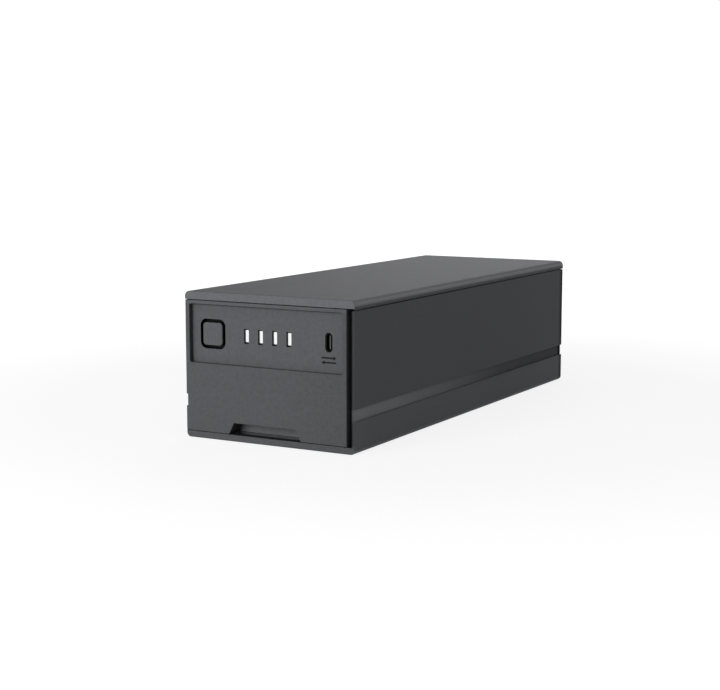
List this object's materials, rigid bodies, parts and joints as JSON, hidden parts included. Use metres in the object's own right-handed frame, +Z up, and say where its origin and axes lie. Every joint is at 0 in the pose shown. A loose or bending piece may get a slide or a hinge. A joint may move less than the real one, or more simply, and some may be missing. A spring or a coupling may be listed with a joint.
{
  "type": "power station",
  "caption": "Slide-in battery power station with guide grooves, a front control panel with power button, light bars and USB-C port, and a rear blade socket.",
  "frame": {"origin": "centre of the underside", "axes": "+X to the right of someone facing the control panel, +Y from the control panel towards the rear socket, +Z up"},
  "size_m": [0.1, 0.27, 0.076],
  "materials": {
    "casing": "fine moulded texture, dark grey",
    "button": "fine moulded texture, dark grey",
    "inner_plastic": "moulded, black",
    "plunger": "moulded, black",
    "seal": "silicone, black",
    "foam": "closed-cell foam",
    "screw": "zinc plated",
    "light_guide": "opal, smooth",
    "led": "phosphor coated",
    "circuit_board": "green solder mask",
    "port_metal": "drawn shell",
    "rear_plate": "black, fine texture",
    "contact": "gold plated",
    "cell": "shrink sleeve",
    "holder": "moulded, black",
    "bus_plate": "nickel plated",
    "insulation": "insulating paper",
    "flex": "polyimide film",
    "lead_red": "silicone sleeve",
    "lead_black": "silicone sleeve",
    "ribbon": "flat cable",
    "header": "moulded, natural",
    "choke": "pressed powder",
    "capacitor": "printed sleeve",
    "transistor": "moulded, black",
    "heat_spreader": "extruded",
    "fuse": "glazed",
    "shunt": "rolled strip"
  },
  "bodies": {
    "chassis": {"lower_housing": "casing", "top_cover": "casing", "front_panel": "casing", "button_guide": "inner_plastic", "switch_body": "inner_plastic", "light_guide_holder": "inner_plastic", "port_tongue": "inner_plastic", "rear_socket": "inner_plastic", "cover_seal": "seal", "button_seal": "seal", "port_seal": "seal", "rear_gasket": "seal", "foam_strip_left": "foam", "foam_strip_right": "foam", "cover_screws": "screw", "panel_screws": "screw", "front_board_screws": "screw", "rear_plate_screws": "screw", "socket_screws": "screw", "main_board_screws": "screw", "light_guide_1": "light_guide", "light_guide_2": "light_guide", "light_guide_3": "light_guide", "light_guide_4": "light_guide", "indicator_leds": "led", "front_board": "circuit_board", "main_board": "circuit_board", "port_shell": "port_metal", "rear_plate": "rear_plate", "rear_contacts": "contact", "board_terminals": "contact", "cell_group_1": "cell", "cell_group_2": "cell", "cell_group_3": "cell", "cell_group_4": "cell", "cell_group_5": "cell", "cell_group_6": "cell", "cell_holder_left": "holder", "cell_holder_right": "holder", "bus_plates_left": "bus_plate", "bus_plates_right": "bus_plate", "insulation_sheet_left": "insulation", "insulation_sheet_right": "insulation", "sense_flex": "flex", "pack_lead_positive": "lead_red", "output_lead_positive": "lead_red", "pack_lead_negative": "lead_black", "output_lead_negative": "lead_black", "signal_ribbon": "ribbon", "board_headers": "header", "power_chokes": "choke", "filter_capacitors": "capacitor", "power_transistors": "transistor", "heat_spreader": "heat_spreader", "main_fuse": "fuse", "shunt_resistor": "shunt"},
    "power_button": {"button_cap": "button", "button_retainer": "inner_plastic"},
    "switch_plunger": {"switch_plunger": "plunger"}
  },
  "joints": [
    {"name": "power_button_press", "type": "slide", "parent": "chassis", "child": "power_button", "axis": [0, 1, 0], "range_m": [0, 0.0008], "stiffness_N_per_m": 2500},
    {"name": "switch_plunger_press", "type": "slide", "parent": "chassis", "child": "switch_plunger", "axis": [0, 1, 0], "range_m": [0, 0.0008]}
  ],
  "couplings": [
    {"joint": "switch_plunger_press", "follows": "power_button_press", "ratio": 1}
  ]
}
